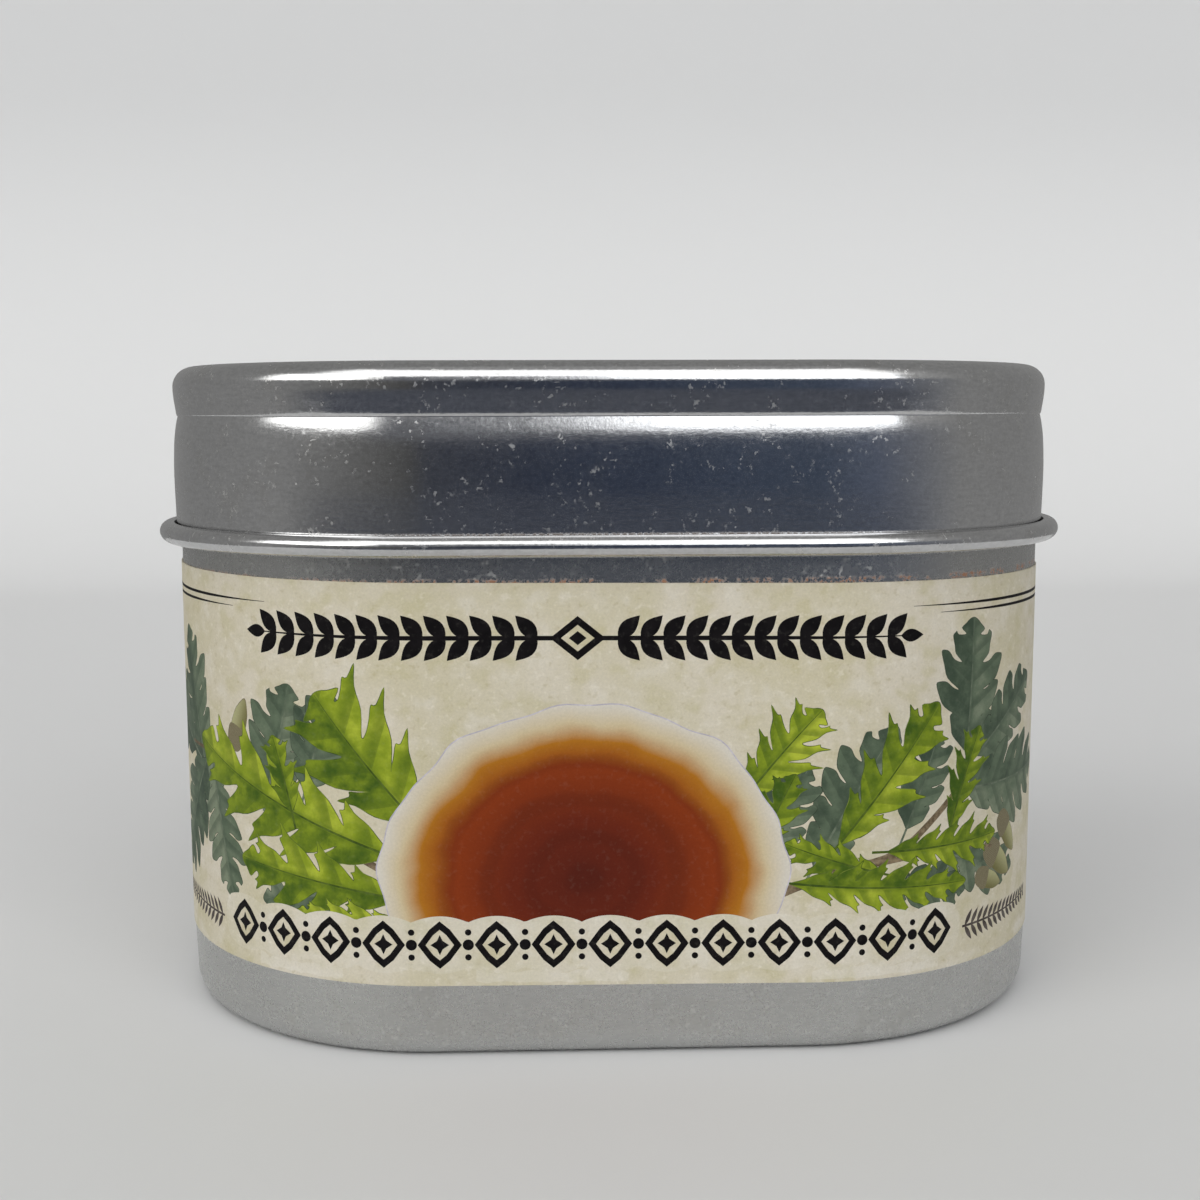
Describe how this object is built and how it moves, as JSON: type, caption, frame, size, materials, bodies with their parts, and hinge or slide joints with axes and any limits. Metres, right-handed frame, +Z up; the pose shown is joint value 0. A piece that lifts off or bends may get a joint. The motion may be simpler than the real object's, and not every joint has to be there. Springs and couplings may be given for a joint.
{
  "type": "oval slip-lid tin",
  "caption": "Oval tinplate tin with a deep slip-on lid, a rolled curl round the lid's edge and a printed paper label wrapped round the body.",
  "frame": {"origin": "on the table plane, at the middle of the oval", "axes": "+X along the oval's long side, +Y to the back (the label's front faces -Y), +Z up"},
  "size_m": [0.0932, 0.0582, 0.064],
  "materials": {
    "body_tinplate": "satin tinplate, fine vertical grain, dulled by handling",
    "lid_tinplate": "semi-bright tinplate with fine vertical grain, small scratches and specks, a little brown dirt in the crevice above the curl",
    "label_paper": "printed paper with a slight satin varnish: mottled cream ground, leaf sprays and a banded mushroom cap, with plain ornament where the lettering was"
  },
  "bodies": {
    "root": {"tin_body": "body_tinplate", "lid": "lid_tinplate", "label": "label_paper"}
  },
  "joints": []
}
